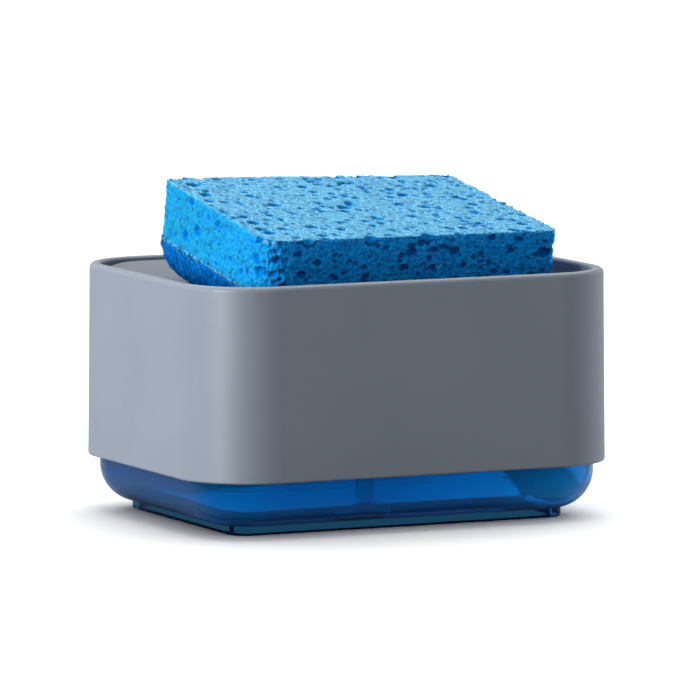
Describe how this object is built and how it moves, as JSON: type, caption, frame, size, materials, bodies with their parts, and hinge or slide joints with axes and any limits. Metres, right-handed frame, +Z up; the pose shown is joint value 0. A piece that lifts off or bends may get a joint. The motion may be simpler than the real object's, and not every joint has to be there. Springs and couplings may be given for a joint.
{
  "type": "soap pump caddy",
  "caption": "Rounded rectangular sponge caddy: a clear soap tank under a grey sleeve, and a sloping press tray whose hidden pump doses soap up into the sponge that lies on it.",
  "frame": {"origin": "on the surface that the caddy stands on, under the middle of its plan", "axes": "+X along the long side, +Y from the front to the back, +Z up"},
  "size_m": [0.131, 0.101, 0.0945],
  "materials": {
    "sleeve_plastic": "fine matt moulded grey",
    "tray_plastic": "fine matt moulded grey",
    "deck_plastic": "plain moulded light grey",
    "tank_clear": "clear polished",
    "soap_blue": "clear blue liquid",
    "sponge_cellulose": "light blue open-pored cellulose",
    "scour_fibre": "dark blue non-woven fibre",
    "pump_plastic": "white polypropylene",
    "pump_clear": "natural clear polypropylene",
    "piston_plastic": "soft polyethylene",
    "silicone": "translucent silicone",
    "steel": "stainless steel"
  },
  "bodies": {
    "tank": {"reservoir": "tank_clear", "soap": "soap_blue"},
    "top": {"outer_sleeve": "sleeve_plastic", "pump_deck": "deck_plastic", "deck_screws": "steel", "tank_seal": "silicone", "pump_collar": "pump_plastic", "collar_gasket": "silicone", "pump_cylinder": "pump_clear", "stem_guide": "pump_plastic", "ball_cage": "pump_plastic", "dip_tube": "pump_clear", "return_spring": "steel"},
    "tray": {"press_tray": "tray_plastic", "outlet_valve": "silicone", "valve_retainer": "tray_plastic", "pump_stem": "pump_plastic", "piston": "piston_plastic"},
    "inlet_valve_ball": {"inlet_ball": "steel"},
    "sponge": {"scour_pad": "scour_fibre", "sponge_block": "sponge_cellulose"}
  },
  "joints": [
    {"name": "top_lift", "type": "slide", "parent": "tank", "child": "top", "axis": [0, 0, 1], "range_m": [0, 0.04]},
    {"name": "press", "type": "slide", "parent": "top", "child": "tray", "axis": [0, 0, -1], "range_m": [0, 0.008], "stiffness_N_per_m": 690, "springref_m": -0.0087, "deforming": ["return_spring"]},
    {"name": "ball_lift", "type": "slide", "parent": "top", "child": "inlet_valve_ball", "axis": [0, 0, 1], "range_m": [0, 0.0012]},
    {"name": "sponge_lift", "type": "slide", "parent": "tray", "child": "sponge", "axis": [0, 0, 1], "range_m": [0, 0.04]}
  ]
}
